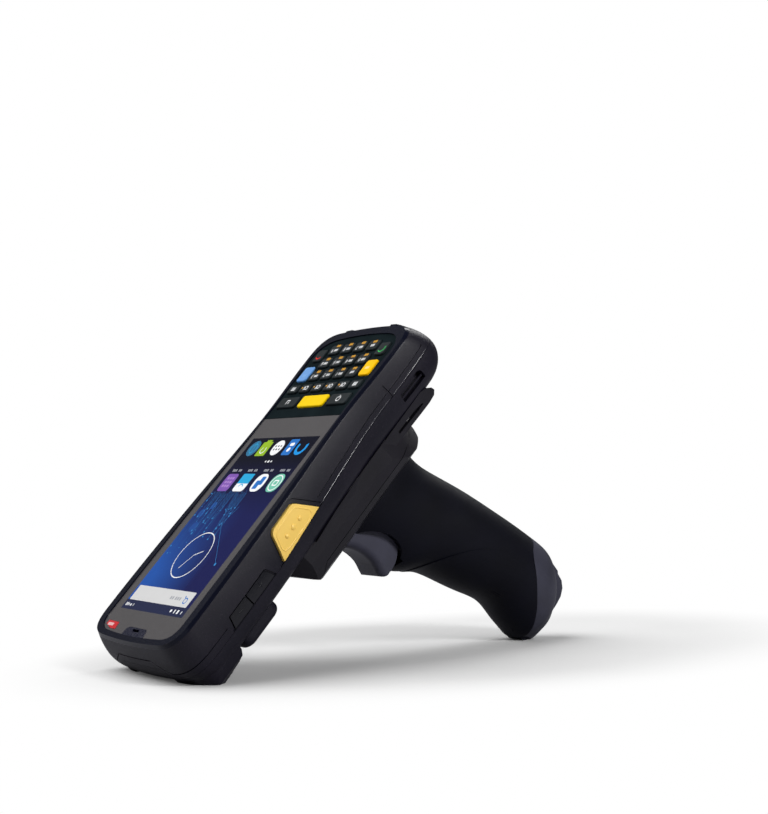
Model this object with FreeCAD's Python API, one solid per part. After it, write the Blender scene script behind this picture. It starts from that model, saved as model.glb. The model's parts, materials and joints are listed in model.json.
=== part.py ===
import FreeCAD, Part
import math
import os

# Portable barcode terminal with a keypad, clipped into a pistol grip with a trigger.
# Everything is drawn in the terminal's own axes, in millimetres:
# x runs from the scanner end (-) to the keypad end (+), y across the width,
# z out of the screen, with z = 0 on the glass. At the end everything is leaned
# onto its two rests, the scanner-end feet and the butt of the grip.

V = FreeCAD.Vector
ALONG_Y = V(0, 1, 0)

# Stance: lean of the terminal and level of the floor along the leaned upright
REST_TILT = 47.4
REST_LEVEL = -56.0

# Terminal body: levels of the moulded shell as (z, scanner end, keypad end, width added, corner radius)
RIM_TOP = 0.5
BACK = -22.0
LEVELS = [
    (RIM_TOP, -57.2, 102.9, 0.0, 11.5),
    (-4.0, -59.3, 105.7, 0.6, 12.0),
    (-9.0, -60.7, 107.6, 1.0, 12.5),
    (-14.0, -60.7, 107.9, 0.9, 12.5),
    (-17.8, -59.6, 106.3, 0.1, 12.0),
    (-20.6, -58.0, 103.7, -1.4, 11.5),
    (BACK, -55.8, 101.3, -3.6, 11.0),
]
# Waisted sides: half width of the rim along x, and of the glass and keypad inside it
RIM_SIDE = [(-44.0, 36.1), (-15.0, 35.7), (25.0, 33.0), (60.0, 31.0), (86.0, 32.7)]
FACE_SIDE = [(-44.0, 31.9), (-15.0, 31.7), (25.0, 30.7), (60.0, 29.6), (86.0, 30.7)]
FACE_ENDS = (-54.9, 99.2)
FACE_CORNER = 9.0
FACE_CORNER_KEYPAD = 13.0
GLASS_END = 54.2
GLASS_THICK = 1.1
LEDGE = 1.6
CAVITY_FLOOR = -20.0

# Split line of the two shells: along the side as (x, z), across the scanner end as (y, z)
SPLIT_SIDE = [(-50.0, -14.8), (-6.0, -14.8), (20.0, -13.6), (45.0, -12.5), (66.0, -11.3), (115.0, -9.8)]
SPLIT_END = [(0.0, -9.0), (14.0, -9.0), (24.0, -14.6), (45.0, -14.8)]
BAND_RISE = 3.3
GROOVE = 0.45

# Screen and keypad
SCREEN_X = 87.1
SCREEN_Y = 52.3
KEY_TOP = 0.75
KEY_BOTTOM = -1.5
KEY_TRAVEL = 0.6
KEY_GAP = 0.25
KEY_CORNER = 1.1
COLUMN = 9.45
ROWS = {"e": 62.6, "d": 70.2, "c": 77.3, "b": 84.4, "a": 91.9}
SIDE_COLUMN = 23.5

# Side keys
SCAN_KEY = [(-5.2, -14.2), (-0.8, -3.4), (13.2, -3.4), (19.6, -12.9)]
VOLUME_TOP = -9.8
VOLUME_BOTTOM = -14.4
SIDE_TRAVEL = 0.7

# Feet at the scanner end, hump behind them and the notch for the scan window
FOOT_IN = 18.0
FOOT_OUT = 34.5
WINDOW_TILT = 12.0

# Saddle of the grip: cross-section half as (y, z), from the seam on the flank to the keel
SADDLE_SEAM = -20.8
HULL = [(34.4, SADDLE_SEAM), (32.4, -22.3), (31.0, -25.3), (29.6, -31.6),
        (28.2, -34.6), (24.5, -37.0), (16.0, -38.4), (0.0, -38.8)]
SHELL_SEAM = [(-20.0, -34.4), (5.2, -34.4), (8.8, -31.6), (100.0, -31.6)]
SEAM_GAP = 0.3
# Rails that run back from the saddle, seen from the side
RAIL = [(10.0, -21.7), (24.0, -20.9), (60.0, -21.0), (76.3, -20.2), (84.0, -19.8), (87.4, -20.8),
        (89.6, -22.8), (90.2, -24.6), (88.8, -26.1), (85.0, -26.6), (62.7, -26.8), (51.4, -25.5),
        (40.4, -24.1), (24.0, -22.2)]
SLOT = [(66.8, -23.3), (78.0, -23.2), (82.2, -23.8), (82.6, -24.4), (79.0, -24.7), (66.8, -24.6)]
WELL = (61.5, 84.5, 27.6)

# Handle: (z, front x, rear x, half width)
HANDLE = [
    (-36.0, 25.0, 78.6, 20.0),
    (-42.0, 27.5, 76.4, 17.5),
    (-50.0, 31.0, 75.8, 16.2),
    (-60.0, 34.0, 77.9, 16.0),
    (-71.5, 35.0, 81.4, 16.2),
    (-79.0, 41.0, 83.4, 16.3),
    (-92.0, 47.0, 86.4, 16.4),
    (-106.0, 51.8, 89.4, 16.4),
    (-119.0, 55.6, 91.7, 16.2),
    (-126.0, 55.0, 92.3, 16.0),
    (-131.0, 54.4, 91.0, 15.6),
    (-136.0, 54.2, 87.6, 14.8),
    (-140.5, 54.8, 82.6, 13.2),
    (-144.0, 56.6, 77.0, 10.0),
    (-146.4, 57.8, 71.6, 5.4),
]
# Seam of the butt cap seen from the side, as (x, z)
CAP_SEAM = [(97.0, -116.4), (88.0, -115.3), (82.6, -115.3), (79.6, -116.8), (77.1, -119.3), (69.1, -128.0),
            (65.0, -132.8), (60.5, -137.2), (50.0, -145.5)]
CAP_GAP = 0.25
# Spine down the rear of the cap, as (x, z)
SPINE = [(84.0, -125.0), (91.0, -127.0), (89.6, -132.0), (88.6, -138.0), (87.6, -142.0), (85.4, -144.6),
         (82.0, -146.2), (78.0, -146.6), (66.0, -146.6), (62.0, -140.0)]
SPINE_HALF = 6.0
BAY_LEAN = 15.5
BAY_TOP = (60.6, -74.0)
HINGE = (57.4, -141.2)
HINGE_ROUND = 2.6
LUG_HALF = 4.6
KNUCKLE_HALF = 2.0
PIN_ROUND = 0.9
PIN_PLAY = 0.05

# Trigger
TRIGGER_PIVOT = (35.5, -42.5)
TRIGGER_HALF = 9.0
TRIGGER_SLOT = 9.5
TRIGGER_PIN = 1.5
TRIGGER_FRONT = [(23.4, -39.8), (25.3, -44.4), (27.6, -48.6), (29.1, -52.5), (29.7, -56.5), (29.5, -60.5),
                 (28.4, -64.0), (27.9, -65.8)]
# Edge of the handle's cheeks round the trigger
CHEEK_EDGE = [(26.0, -41.8), (30.3, -43.8), (35.1, -46.8), (38.8, -51.0), (41.4, -55.9), (41.9, -61.2),
              (40.5, -65.6), (37.0, -68.4), (31.0, -70.0)]


def make(shape_list):
    out = shape_list[0]
    for item in shape_list[1:]:
        out = out.fuse(item)
    return out.removeSplitter()


def main_solid(shape):
    return max(shape.Solids, key=lambda solid: solid.Volume)


def both_sides(shape):
    other = shape.mirror(V(0, 0, 0), ALONG_Y)
    return shape, other


def hermite(a, b, ta, tb):
    curve = Part.BSplineCurve()
    curve.interpolate(Points=[a, b], InitialTangent=ta, FinalTangent=tb)
    return curve.toShape()


def side_curve(table, grow, z, first, last):
    points = [V(x, w + grow, z) for x, w in table if first + 4 < x < last - 4]
    start = V(first, table[0][1] + grow - 0.1, z)
    finish = V(last, table[-1][1] + grow - 0.1, z)
    curve = Part.BSplineCurve()
    curve.interpolate(Points=[start] + points + [finish])
    return curve


def outline(table, z, start, end, grow, corner, end_corner=None):
    # closed outline in eight edges: two bowed ends, four corners, two waisted sides
    end_corner = end_corner or corner
    first = start + corner
    last = end - end_corner
    side = side_curve(table, grow, z, first, last)
    a = side.StartPoint
    b = side.EndPoint
    tangent_a = side.tangent(side.FirstParameter)[0]
    tangent_b = side.tangent(side.LastParameter)[0]
    bow = 0.9
    ya = a.y - corner
    yb = b.y - end_corner
    end_a = Part.Arc(V(start + bow, -ya, z), V(start, 0, z), V(start + bow, ya, z))
    end_b = Part.Arc(V(end - bow, yb, z), V(end, 0, z), V(end - bow, -yb, z))
    pull = 1.42 * corner
    end_pull = 1.42 * end_corner
    lean = bow * 2 / ya
    corner_a = hermite(V(start + bow, ya, z), a, V(lean, 1, 0).normalize() * pull, tangent_a * pull)
    corner_b = hermite(b, V(end - bow, yb, z), tangent_b * end_pull, V(lean, -1, 0).normalize() * end_pull)
    near = [edge.mirror(V(0, 0, 0), ALONG_Y) for edge in (corner_b, side.toShape(), corner_a)]
    edges = [end_a.toShape(), corner_a, side.toShape(), corner_b, end_b.toShape()] + near
    return Part.Wire(Part.__sortEdges__(edges))


def prism(wire, depth):
    return Part.Face(wire).extrude(V(0, 0, depth))


def body_shape(grow=0.0):
    wires = []
    for z, start, end, width, corner in LEVELS:
        wires.append(outline(RIM_SIDE, z, start - grow, end + grow, width + grow, corner))
    return Part.makeLoft(wires, True, False)


def face_prism(inset, top, bottom):
    start, end = FACE_ENDS
    wire = outline(FACE_SIDE, bottom, start + inset, end - inset, -inset, FACE_CORNER, FACE_CORNER_KEYPAD)
    return prism(wire, top - bottom)


def box(x0, x1, y0, y1, z0, z1):
    return Part.makeBox(x1 - x0, y1 - y0, z1 - z0, V(x0, y0, z0))


def polygon_y(points, y0, y1):
    # prism along y over a closed outline in x and z
    corners = [V(x, y0, z) for x, z in points]
    return Part.Face(Part.makePolygon(corners + corners[:1])).extrude(V(0, y1 - y0, 0))


def polygon_x(points, x0, x1):
    corners = [V(x0, y, z) for y, z in points]
    return Part.Face(Part.makePolygon(corners + corners[:1])).extrude(V(x1 - x0, 0, 0))


def cylinder_y(centre, radius, y0, y1):
    return Part.makeCylinder(radius, y1 - y0, V(centre[0], y0, centre[1]), ALONG_Y)


def rounded_rect(x, y, z, long_x, long_y, corner, depth):
    # prism with rounded corners, centred on x and y, rising by depth from z
    hx = long_x / 2 - corner
    hy = long_y / 2 - corner
    edges = []
    turns = [(hx, hy, 0), (-hx, hy, 90), (-hx, -hy, 180), (hx, -hy, 270)]
    for cx, cy, angle in turns:
        circle = Part.Circle(V(x + cx, y + cy, z), V(0, 0, 1), corner)
        a = math.radians(angle)
        edges.append(Part.Arc(circle, a, a + math.pi / 2).toShape())
    joined = []
    for index, edge in enumerate(edges):
        following = edges[(index + 1) % 4]
        joined.append(edge)
        joined.append(Part.makeLine(edge.valueAt(edge.LastParameter), following.valueAt(following.FirstParameter)))
    return prism(Part.Wire(joined), depth)


def soft_rect(x, y, z, long_x, long_y, corner, depth):
    # like rounded_rect, with each small corner drawn by three points
    hx = long_x / 2 - corner
    hy = long_y / 2 - corner
    points = []
    for cx, cy, angle in [(hx, hy, 0), (-hx, hy, 90), (-hx, -hy, 180), (hx, -hy, 270)]:
        for step in (0, 45, 90):
            a = math.radians(angle + step)
            points.append(V(x + cx + corner * math.cos(a), y + cy + corner * math.sin(a), z))
    return prism(Part.makePolygon(points + points[:1]), depth)


def rod(radius, x, y, z, length, sides=12):
    # short many-sided rod along z
    points = []
    for index in range(sides):
        a = 2 * math.pi * index / sides
        points.append(V(x + radius * math.cos(a), y + radius * math.sin(a), z))
    return prism(Part.makePolygon(points + points[:1]), length)


# Split of the shells

def below_split(drop=0.0):
    # everything under the split line, moved down by drop
    side = [(x, z - drop) for x, z in SPLIT_SIDE]
    right = [(110.0, -60.0), (SPLIT_SIDE[0][0], -60.0)]
    long_part = polygon_y(side + right, -60, 60)
    end_top = [(y, z - drop) for y, z in SPLIT_END]
    mirrored = [(-y, z) for y, z in reversed(end_top[1:])]
    section = mirrored + end_top + [(45.0, -60.0), (-45.0, -60.0)]
    end_part = polygon_x(section, -80, SPLIT_SIDE[0][0])
    return long_part.fuse(end_part)


# Feet and hump under the scanner end

def floor_block():
    # everything under the plane that the whole object stands on
    block = box(-300, 300, -100, 100, REST_LEVEL - 200, REST_LEVEL)
    block.rotate(V(0, 0, 0), ALONG_Y, REST_TILT)
    return block


def foot():
    # side profile with a toe cut flat by the floor, and a tapered front view
    side = polygon_y([(-60.5, -14.5), (-60.0, -22.0), (-56.0, -27.2), (-48.5, -27.2), (-42.4, -26.0),
                      (-40.2, -24.8), (-39.0, -22.6), (-38.6, -19.0)], FOOT_IN - 1, FOOT_OUT + 1)
    front = polygon_x([(FOOT_IN, -14.0), (FOOT_IN, -24.5), (FOOT_IN + 2.4, -27.3), (FOOT_OUT - 4.5, -27.3),
                       (FOOT_OUT - 1.2, -24.6), (FOOT_OUT + 0.6, -20.0), (FOOT_OUT, -14.0)], -70, -30)
    plan = prism(outline(RIM_SIDE, -30.0, -60.3, 97.0, -1.0, 12.5), 18.0)
    return side.common(front).common(plan).cut(floor_block())


def feet():
    return list(both_sides(foot()))


def hump():
    base = rounded_rect(-26.7, 0, -26.9, 20.2, 65.0, 4.5, 6.9)
    edges = [e for e in base.Edges if abs(e.BoundBox.ZMax + 26.9) < 0.01]
    return base.makeFillet(2.2, edges)


def window_notch():
    # the slot between the feet where the scan window looks out
    return polygon_y([(-75.0, -14.6), (-52.0, -16.2), (-47.8, -30.0), (-75.0, -30.0)], -FOOT_IN, FOOT_IN)


# Side key outlines on the flank, as prisms along y on the near side

def flank_prism(points, corner, y0=-48.0, y1=-25.0):
    solid = polygon_y(points, y0, y1)
    if corner <= 0:
        return solid
    middle = sum(z for x, z in points) / len(points)
    edges = [e for e in solid.Edges if e.BoundBox.YLength > 5 and e.BoundBox.ZMin > middle]
    return solid.makeFillet(corner, edges)


def offset_points(points, grow):
    # outline grown outward by mitring each corner
    out = []
    count = len(points)
    for i in range(count):
        before = points[i - 1]
        here = points[i]
        after = points[(i + 1) % count]
        d1 = V(here[0] - before[0], 0, here[1] - before[1]).normalize()
        d2 = V(after[0] - here[0], 0, after[1] - here[1]).normalize()
        n1 = V(-d1.z, 0, d1.x)
        n2 = V(-d2.z, 0, d2.x)
        mitre = (n1 + n2) * (grow / (1 + n1.dot(n2)))
        out.append((here[0] + mitre.x, here[1] + mitre.z))
    return out


def volume_outline(first, last, slope_first, slope_last):
    top = VOLUME_TOP
    bottom = VOLUME_BOTTOM
    return [(first, bottom), (first + slope_first, top), (last - slope_last, top), (last, bottom)]


VOLUME_KEYS = {
    "volume_down_key": volume_outline(-35.8, -25.1, 1.6, 0.0),
    "volume_up_key": volume_outline(-24.5, -11.5, 0.0, 1.6),
}


def side_key(points, proud, corner, depth):
    cutter = flank_prism(points, corner)
    shape = body_shape(proud).common(cutter)
    return shape.cut(body_shape(-depth))


def side_hole(points, corner, depth):
    return flank_prism(offset_points(points, KEY_GAP), corner + KEY_GAP).cut(body_shape(-depth))


def pocket_recess(points, grow, corner, depth):
    # shallow dished surround of a side key
    cutter = flank_prism(offset_points(points, grow), corner)
    return cutter.cut(body_shape(-depth))


def strap_recess():
    cutter = flank_prism([(76.2, -17.0), (76.2, -12.4), (90.2, -12.4), (90.2, -17.0)], 2.2)
    hollow = cutter.cut(body_shape(-3.4))
    ribs = flank_prism([(76.5, -15.9), (76.5, -15.1), (90.0, -15.1), (90.0, -15.9)], 0)
    ribs = ribs.common(body_shape(-1.0))
    return hollow.cut(ribs)


def flank_groove(points, width, depth=GROOVE):
    # line drawn along the flank of both sides, a strip of constant height
    upper = list(points)
    lower = [(x, z - width) for x, z in reversed(points)]
    strip = polygon_y(upper + lower, -48, -20).cut(body_shape(-depth))
    return list(both_sides(strip))


# Screws between the shells

SCREW_SPOTS = [(-11.0, 29.6), (74.0, 26.8)]


def screw_spots():
    return [(x, s * y) for x, y in SCREW_SPOTS for s in (-1, 1)]


def screw(x, y, head_z, length, radius=1.0):
    head = rod(radius * 2, x, y, head_z, 1.3, 16)
    shank = rod(radius, x, y, head_z + 1.3, length, 8)
    socket = rod(radius * 0.9, x, y, head_z, 0.7, 6)
    return head.fuse(shank).cut(socket).removeSplitter()


def housing_screws():
    return Part.makeCompound([screw(x, y, BACK + 0.6, 11.0) for x, y in screw_spots()])


def screw_holes(radius, top):
    holes = []
    for x, y in screw_spots():
        holes.append(Part.makeCylinder(2.3, 2.2, V(x, y, BACK - 0.3)))
        holes.append(Part.makeCylinder(radius, top - BACK, V(x, y, BACK)))
    return holes


def bosses(z0, z1):
    return [Part.makeCylinder(3.2, z1 - z0, V(x, y, z0)) for x, y in screw_spots()]


def upper_cavity():
    hollow = face_prism(LEDGE, -GLASS_THICK + 0.01, -15.0)
    return hollow.cut(box(96.4, 120, -50, 50, -60, 20)).cut(box(-90, -52.0, -50, 50, -60, 20))


def lower_cavity():
    floor = rounded_rect(24.0, 0, CAVITY_FLOOR, 116.0, 55.0, 5.0, 5.2)
    neck = box(-53.0, -30.0, -16.5, 16.5, -14.0, -13.0)
    return floor.fuse(neck)


def port_zone(grow=0.0):
    return box(100.0, 114.0, -13.5 - grow, 13.5 + grow, -8.6 - grow, -2.2 + grow)


def port_cover():
    shell = body_shape(-0.25).cut(body_shape(-1.7))
    return shell.common(port_zone(-0.2))


def end_bumps():
    # two low bumps beside the port cover, where the end wall stands proud
    bump = box(102.0, 111.0, 14.5, 18.5, -9.4, 0.0).common(body_shape(1.0)).cut(body_shape(-0.5))
    return list(both_sides(bump))


def speaker_grille():
    # slots in the earpiece plate
    slots = [rounded_rect(-52.1, y, -3.0, 1.1, 5.6, 0.5, 6.0) for y in (0.0,)]
    return slots


def earpiece(grow=0.0, top=0.1, bottom=-GLASS_THICK):
    # rounded trapezoid at the head of the glass
    points = [V(-56.5, -9.6 - grow, bottom), V(-51.9 + grow, -8.6 - grow, bottom),
              V(-50.9 + grow, -7.0 - grow, bottom), V(-50.9 + grow, 7.0 + grow, bottom),
              V(-51.9 + grow, 8.6 + grow, bottom), V(-56.5, 9.6 + grow, bottom)]
    solid = prism(Part.makePolygon(points + points[:1]), top - bottom)
    return solid.common(face_prism(0.15, 5, -5))


def lens(grow=0.0, top=0.12, bottom=-GLASS_THICK):
    # indicator lens in the far scanner-end corner of the glass
    points = [V(-53.0 - grow, 17.5 - grow, bottom), V(-49.9 + grow, 18.4 - grow, bottom),
              V(-49.7 + grow, 27.2 + grow, bottom), V(-51.4 - grow, 27.6 + grow, bottom),
              V(-53.0 - grow, 22.0, bottom)]
    solid = prism(Part.makePolygon(points + points[:1]), top - bottom)
    return solid.common(face_prism(0.15, 5, -5))


def touch_window():
    glass = face_prism(0.12, 0.0, -GLASS_THICK)
    glass = glass.cut(box(GLASS_END, 140, -60, 60, -20, 20))
    glass = glass.cut(earpiece(0.12, 5, -5))
    return glass.cut(lens(0.12, 5, -5))


def display_panel():
    return rounded_rect(0, 0, -3.3, SCREEN_X + 5.0, SCREEN_Y + 3.4, 1.0, 3.3 - GLASS_THICK - 0.05)


def key_layout():
    # name: (x, y, length along x, length along y)
    keys = {}
    keys["key_scan_front"] = (ROWS["e"], 0.0, 6.2, 19.2)
    keys["key_back"] = (ROWS["e"], 19.4, 5.8, 14.4)
    keys["key_power"] = (ROWS["e"], -19.4, 5.8, 14.4)
    for index in range(6):
        y = COLUMN * (index - 2.5)
        if abs(y) > 20:
            y = math.copysign(SIDE_COLUMN, y)
        keys["key_d%d" % (index + 1)] = (ROWS["d"], y, 4.5, 8.0)
    for row in ("c", "b", "a"):
        for index in range(4):
            keys["key_%s%d" % (row, index + 1)] = (ROWS[row], COLUMN * (index - 1.5), 5.4, 8.0)
    keys["key_blue"] = (78.7, SIDE_COLUMN, 8.2, 7.2)
    keys["key_yellow"] = (79.0, -SIDE_COLUMN, 8.2, 7.2)
    keys["key_end"] = (89.2, SIDE_COLUMN, 6.8, 6.8)
    keys["key_call"] = (89.2, -SIDE_COLUMN, 6.8, 6.8)
    return keys


def key_cap(x, y, long_x, long_y):
    body = soft_rect(x, y, KEY_BOTTOM, long_x, long_y, KEY_CORNER, KEY_TOP - KEY_BOTTOM)
    top = [e for e in body.Edges if e.BoundBox.ZMin > KEY_TOP - 0.01]
    return body.makeChamfer(0.3, top)


def keypad_plate():
    plate = face_prism(0.12, 0.0, -1.2)
    plate = plate.cut(box(-90, GLASS_END + 0.2, -60, 60, -20, 20))
    holes = []
    for x, y, long_x, long_y in key_layout().values():
        gap = 2 * KEY_GAP
        holes.append(soft_rect(x, y, -3, long_x + gap, long_y + gap, KEY_CORNER + KEY_GAP, 6))
    return plate.cut(Part.makeCompound(holes))


def key_wells():
    # room under the plate for each key and its travel
    gap = 2 * KEY_GAP
    depth = -KEY_BOTTOM + KEY_TRAVEL + 0.15
    return [soft_rect(x, y, -depth, long_x + gap, long_y + gap, KEY_CORNER + KEY_GAP, depth)
            for x, y, long_x, long_y in key_layout().values()]


def keypad_mat():
    # sheet under all the keys, following the inside of the shell
    mat = face_prism(LEDGE + 0.3, KEY_BOTTOM - KEY_TRAVEL - 0.1, -3.3)
    return mat.common(box(57.0, 96.0, -40, 40, -10, 10))


def main_board():
    board = rounded_rect(19.0, 0, -4.5, 140.0, 49.5, 3.0, 1.2)
    chip = box(-20, -6, -9, 9, -6.3, -4.5)
    can = box(10, 34, -14, 12, -6.5, -4.5)
    return make([board, chip, can])


def battery_pack():
    block = rounded_rect(34.0, 0, CAVITY_FLOOR, 74.0, 48.0, 4.0, 10.5)
    edges = [e for e in block.Edges if e.BoundBox.ZMin > CAVITY_FLOOR + 10.4]
    return block.makeChamfer(0.8, edges)


def scan_engine():
    block = box(-46.0, -33.0, -13.0, 13.0, -15.0, -8.0)
    snout = box(-48.6, -46.0, -10.0, 10.0, -14.2, -8.8)
    aperture = box(-50.0, -47.4, -6.0, 6.0, -13.0, -10.0)
    return block.fuse(snout).cut(aperture).removeSplitter()


def scan_window():
    pane = box(-0.6, 0.6, -14.0, 14.0, -2.8, 2.8)
    pane.rotate(V(0, 0, 0), ALONG_Y, -WINDOW_TILT)
    pane.translate(V(-49.6, 0, -20.3))
    return pane


def window_seat():
    seat = box(-0.8, 0.64, -14.2, 14.2, -3.0, 3.0)
    seat.rotate(V(0, 0, 0), ALONG_Y, -WINDOW_TILT)
    seat.translate(V(-49.6, 0, -20.3))
    return seat


def camera_lens():
    ring = Part.makeCylinder(4.2, 1.2, V(-26.7, 0, -27.5))
    return ring.cut(Part.makeCone(2.6, 1.6, 0.8, V(-26.7, 0, -27.5)))


def lens_seat():
    return Part.makeCylinder(4.35, 1.32, V(-26.7, 0, -27.6))


# Front and back shells of the terminal

def front_housing():
    body = body_shape()
    shell = body.cut(below_split())
    shell = shell.cut(face_prism(0.0, 5, -1.2))
    shell = shell.cut(upper_cavity())
    tools = []
    near_hole = side_hole(SCAN_KEY, 3.0, 4.6)
    tools += list(both_sides(near_hole))
    tools += list(both_sides(pocket_recess(SCAN_KEY, 2.0, 4.5, 0.55)))
    recess = volume_outline(-36.7, -10.9, 1.7, 1.7)
    tools.append(pocket_recess(recess, 0.3, 0.8, 0.5))
    for points in VOLUME_KEYS.values():
        tools.append(side_hole(points, 0.5, 3.6))
    tools += flank_groove([(22.0, -10.2), (45.0, -9.4), (62.0, -8.4), (98.0, -7.2)], 0.45)
    tools += flank_groove([(72.6, -5.0), (74.0, -5.0)], 9.0, 0.4)
    tools.append(port_zone().cut(body_shape(-2.4)))
    end_line = end_band_line()
    tools.append(end_line)
    shell = shell.cut(Part.makeCompound(tools)).cut(Part.makeCompound(key_wells()))
    posts = make(bosses(-16.0, -4.7)).common(body.cut(below_split()))
    posts = posts.cut(face_prism(0.0, 5, -1.2))
    shell = shell.fuse(posts)
    pilot = [Part.makeCylinder(1.0, 13.0, V(x, y, BACK)) for x, y in screw_spots()]
    shell = shell.cut(Part.makeCompound(pilot))
    return make([shell] + end_bumps_front())


def end_bumps_front():
    return [bump.cut(below_split()) for bump in end_bumps()]


def end_band_line():
    # second line round the scanner end, a little above the split
    upper = below_split(-BAND_RISE)
    lower = below_split(-BAND_RISE + 0.45)
    zone = box(-80, -38, -60, 60, -40, 10)
    return body_shape(1.0).cut(body_shape(-GROOVE)).common(upper.cut(lower)).common(zone)


def back_housing():
    body = body_shape()
    shell = body.common(below_split(0.12))
    shell = make([shell, hump()] + feet())
    shell = shell.cut(window_notch())
    shell = shell.cut(upper_cavity()).cut(lower_cavity())
    shell = shell.cut(window_seat())
    shell = shell.cut(box(-49.5, -30.0, -14.5, 14.5, -15.0, -6.0))
    shell = shell.cut(lens_seat())
    tools = list(both_sides(strap_recess()))
    shell = shell.cut(Part.makeCompound(tools))
    posts = make(bosses(BACK, -5.6)).common(body.common(below_split(0.12)))
    shell = shell.fuse(posts)
    return shell.cut(Part.makeCompound(screw_holes(1.1, -5.0))).removeSplitter()


# Grip saddle

def hull_section(x0, x1):
    half = HULL
    mirrored = [(-y, z) for y, z in reversed(half[:-1])]
    return polygon_x(half + mirrored, x0, x1)


def hull_plan(z0, z1):
    # boat-shaped plan: chamfered bow, straight flanks that close in, rounded stern
    nose = [(-6.2, -16.0), (-2.0, -25.0), (3.2, -30.6)]
    waist = V(56.0, -30.5, z0)
    bow = [V(x, y, z0) for x, y in nose]
    stern = Part.BSplineCurve()
    near = [V(68.0, -26.0, z0), V(79.0, -15.0, z0)]
    far = [V(p.x, -p.y, z0) for p in reversed(near)]
    far_waist = V(waist.x, -waist.y, z0)
    stern.interpolate(Points=[waist] + near + [V(85.0, 0, z0)] + far + [far_waist])
    far_bow = [V(p.x, -p.y, z0) for p in reversed(bow)]
    front = Part.makePolygon([far_waist] + far_bow + bow + [waist])
    return prism(Part.Wire(front.Edges + [stern.toShape()]), z1 - z0)


def hull():
    profile = polygon_y([(-6.2, -20.8), (-5.6, -22.4), (-1.5, -29.1), (0.6, -32.6), (3.1, -35.8), (5.6, -37.6),
                         (10.0, -38.8), (72.0, -38.8), (78.0, -38.2), (82.0, -36.9), (84.4, -35.2),
                         (62.5, -23.2), (60.5, SADDLE_SEAM)], -50, 50)
    waist = prism(outline(RIM_SIDE, -42, -50, 106.0, -0.6, 14.0), 24.0)
    return hull_section(-10, 90).common(waist).common(hull_plan(-42, -18)).common(profile)


def rails():
    # flank walls that hug the terminal and run back as a frame with a strap slot on each side
    upper = outline(RIM_SIDE, -19.4, -50, 106.0, -0.4, 12.0)
    lower = outline(RIM_SIDE, -27.0, -50, 106.0, -2.4, 12.0)
    sole = Part.makeLoft([lower, upper], True, True)
    frame = sole.common(polygon_y(RAIL, -50, 50))
    start, end, half = WELL
    well = box(start, end, -half, half, -40, -15)
    return frame.cut(well).cut(polygon_y(SLOT, -50, 50))


def saddle_whole():
    return hull().fuse(rails()).removeSplitter()


def saddle_cavity():
    # room under the terminal for the trigger works
    upper = box(12.0, 56.0, -17.0, 17.0, -31.0, -24.5)
    lower = box(14.0, 54.0, -16.0, 16.0, -35.6, -30.0)
    return upper.fuse(lower)


def trigger_room():
    return box(21.0, 47.4, -TRIGGER_SLOT, TRIGGER_SLOT, -60.0, -30.0)


SADDLE_SPOTS = [(8.5, 21.5), (50.0, 22.5)]


def saddle_spots():
    return [(x, s * y) for x, y in SADDLE_SPOTS for s in (-1, 1)]


def saddle_screws():
    return Part.makeCompound([screw(x, y, -35.4, 8.5, 1.2) for x, y in saddle_spots()])


def below_shell_seam(drop=0.0):
    # everything under the seam of the saddle's two shells
    points = [(x, z - drop) for x, z in SHELL_SEAM]
    return polygon_y(points + [(100.0, -70.0), (-20.0, -70.0)], -60, 60)


def saddle_upper():
    shape = saddle_whole().cut(body_shape(0.06)).cut(hump_clearance())
    shape = shape.cut(below_shell_seam()).cut(saddle_cavity())
    pilots = [Part.makeCylinder(1.2, 9.0, V(x, y, -34.4)) for x, y in saddle_spots()]
    return shape.cut(Part.makeCompound(pilots))


def hump_clearance():
    return box(-60, -8, -50, 50, -40, -10)


def saddle_lower():
    whole = saddle_whole()
    shape = whole.common(below_shell_seam(SEAM_GAP))
    inside = box(12.0, 72.0, -26.0, 26.0, -60, 0)
    lip = whole.common(below_shell_seam()).cut(below_shell_seam(SEAM_GAP)).common(inside)
    shape = shape.fuse(lip).removeSplitter()
    shape = shape.cut(saddle_cavity()).cut(trigger_room())
    holes = []
    for x, y in saddle_spots():
        holes.append(Part.makeCylinder(1.35, 12.0, V(x, y, -38.0)))
        holes.append(Part.makeCylinder(2.6, 8.0, V(x, y, -42.1)))
    return shape.cut(Part.makeCompound(holes))


# Handle

def smooth_rows(rows, count):
    # the handle's stations made finer along smooth front, rear and side lines
    front = Part.BSplineCurve()
    front.interpolate(Points=[V(x, half, z) for z, x, rear, half in rows])
    rear_line = Part.BSplineCurve()
    rear_line.interpolate(Points=[V(rear, half, z) for z, x, rear, half in rows])
    steps = [rows[0][0] + (rows[-1][0] - rows[0][0]) * i / (count - 1) for i in range(count)]
    fine = []
    for z in steps:
        at_front = front.intersect(Part.Plane(V(0, 0, z), V(0, 0, 1)))[0][0]
        at_rear = rear_line.intersect(Part.Plane(V(0, 0, z), V(0, 0, 1)))[0][0]
        fine.append((z, at_front.X, at_rear.X, at_front.Y))
    return fine


def oval(z, front, rear, half, grow=0.0):
    centre = V((front + rear) / 2, 0, z)
    ellipse = Part.Ellipse(centre + V((rear - front) / 2 + grow, 0, 0), centre + V(0, half + grow, 0), centre)
    return Part.Wire(ellipse.toShape())


def handle_form(grow=0.0):
    # long smooth grip, closed by a short dome of flat bands at the butt
    rows = smooth_rows(HANDLE[:-2], 22)
    grip = Part.makeLoft([oval(z, front, rear, half, grow) for z, front, rear, half in rows], True, False)
    dome_rows = [rows[-1]] + HANDLE[-2:]
    dome = Part.makeLoft([oval(z, front, rear, half, grow) for z, front, rear, half in dome_rows], True, True)
    return grip.fuse(dome).removeSplitter()


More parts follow.
